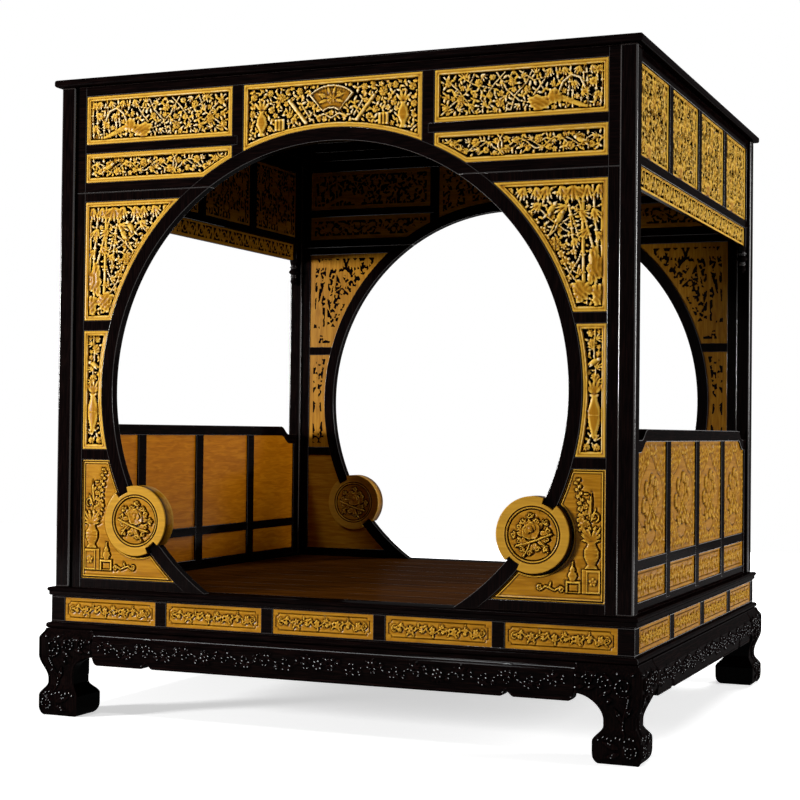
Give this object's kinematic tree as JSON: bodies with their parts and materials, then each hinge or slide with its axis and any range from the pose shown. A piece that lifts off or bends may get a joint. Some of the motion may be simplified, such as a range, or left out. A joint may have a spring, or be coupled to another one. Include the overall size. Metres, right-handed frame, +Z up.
{
  "type": "canopy bed",
  "caption": "Canopy bed with a round moon gate at front and back: dark frame, golden carved openwork panels, roundels, side railings, flat deck and cabriole legs.",
  "frame": {"origin": "on the floor under the middle of the bed", "axes": "+X along the gates to the right seen from the front, +Y from the front gate to the back gate, +Z up"},
  "size_m": [2.283, 2.083, 2.358],
  "materials": {
    "rosewood": "dark, satin",
    "nanmu": "golden, satin"
  },
  "bodies": {
    "root": {"apron_back": "rosewood", "apron_front": "rosewood", "apron_left": "rosewood", "apron_right": "rosewood", "bed_rail_back": "rosewood", "bed_rail_front": "rosewood", "bed_rail_left": "rosewood", "bed_rail_right": "rosewood", "canopy_ceiling": "rosewood", "canopy_frame": "rosewood", "deck": "nanmu", "deck_bearers": "rosewood", "gate_back_corner_left": "nanmu", "gate_back_corner_right": "nanmu", "gate_back_frame_left": "rosewood", "gate_back_frame_right": "rosewood", "gate_back_frieze_centre": "nanmu", "gate_back_frieze_lower_left": "nanmu", "gate_back_frieze_lower_right": "nanmu", "gate_back_frieze_upper_left": "nanmu", "gate_back_frieze_upper_right": "nanmu", "gate_back_head": "rosewood", "gate_back_narrow_left": "nanmu", "gate_back_narrow_right": "nanmu", "gate_back_roundel_left": "nanmu", "gate_back_roundel_right": "nanmu", "gate_back_spandrel_left": "nanmu", "gate_back_spandrel_right": "nanmu", "gate_front_corner_left": "nanmu", "gate_front_corner_right": "nanmu", "gate_front_frame_left": "rosewood", "gate_front_frame_right": "rosewood", "gate_front_frieze_centre": "nanmu", "gate_front_frieze_lower_left": "nanmu", "gate_front_frieze_lower_right": "nanmu", "gate_front_frieze_upper_left": "nanmu", "gate_front_frieze_upper_right": "nanmu", "gate_front_head": "rosewood", "gate_front_narrow_left": "nanmu", "gate_front_narrow_right": "nanmu", "gate_front_roundel_left": "nanmu", "gate_front_roundel_right": "nanmu", "gate_front_spandrel_left": "nanmu", "gate_front_spandrel_right": "nanmu", "leg_back_left": "rosewood", "leg_back_right": "rosewood", "leg_front_left": "rosewood", "leg_front_right": "rosewood", "post_back_left": "rosewood", "post_back_right": "rosewood", "post_front_left": "rosewood", "post_front_right": "rosewood", "railing_left": "rosewood", "railing_right": "rosewood", "side_frieze_left": "rosewood", "side_frieze_right": "rosewood", "waist_back": "rosewood", "waist_front": "rosewood", "waist_left": "rosewood", "waist_right": "rosewood"}
  },
  "joints": []
}
